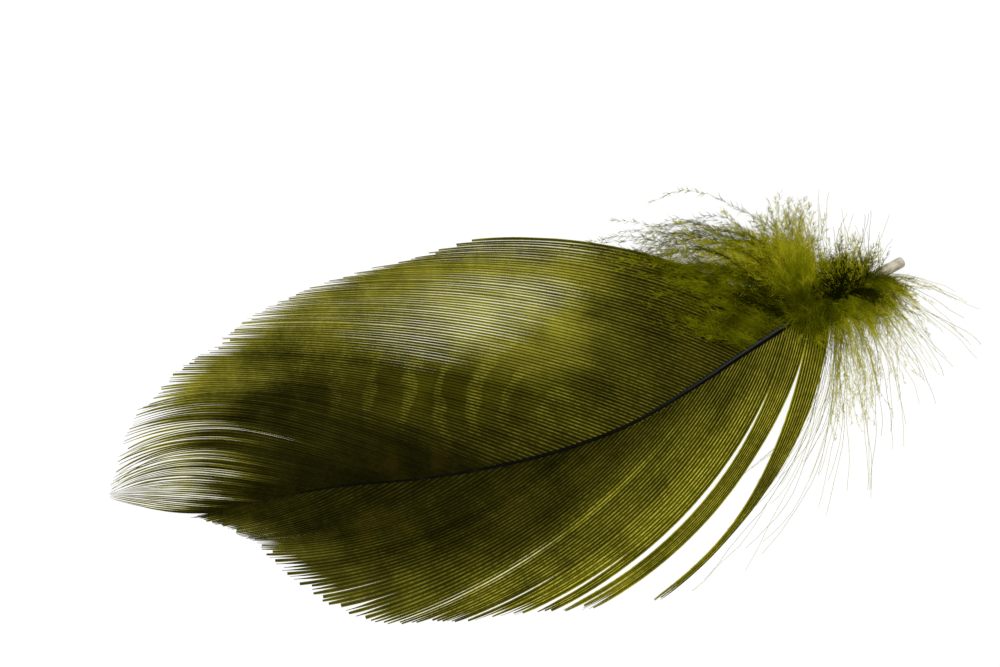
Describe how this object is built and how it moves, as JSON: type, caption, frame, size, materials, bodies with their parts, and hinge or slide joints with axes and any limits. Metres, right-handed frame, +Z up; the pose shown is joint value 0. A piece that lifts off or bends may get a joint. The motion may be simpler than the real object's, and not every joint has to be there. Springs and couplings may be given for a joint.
{
  "type": "feather",
  "caption": "Dyed olive mallard flank feather lying face up: a curved dark shaft, a broad vane parted into locks, and soft down round a short pale quill.",
  "frame": {"origin": "middle of the feather's outline, on the surface that it lies on", "axes": "+X towards the quill end, -X towards the vane's tip, +Y across the shaft towards the wider, upper vane, +Z up from the surface through the feather's outer face"},
  "size_m": [0.0921, 0.042, 0.005],
  "materials": {
    "vane": "dyed olive keratin barbs, semi-matt, thin enough for light to pass, with faint darker bars",
    "shaft": "dyed near-black keratin, smooth with a soft sheen, pale and translucent at the quill end",
    "down": "dyed yellow-olive down, matt and fluffy, nearly black where it is thick"
  },
  "bodies": {
    "root": {"feather": "vane"}
  },
  "joints": []
}
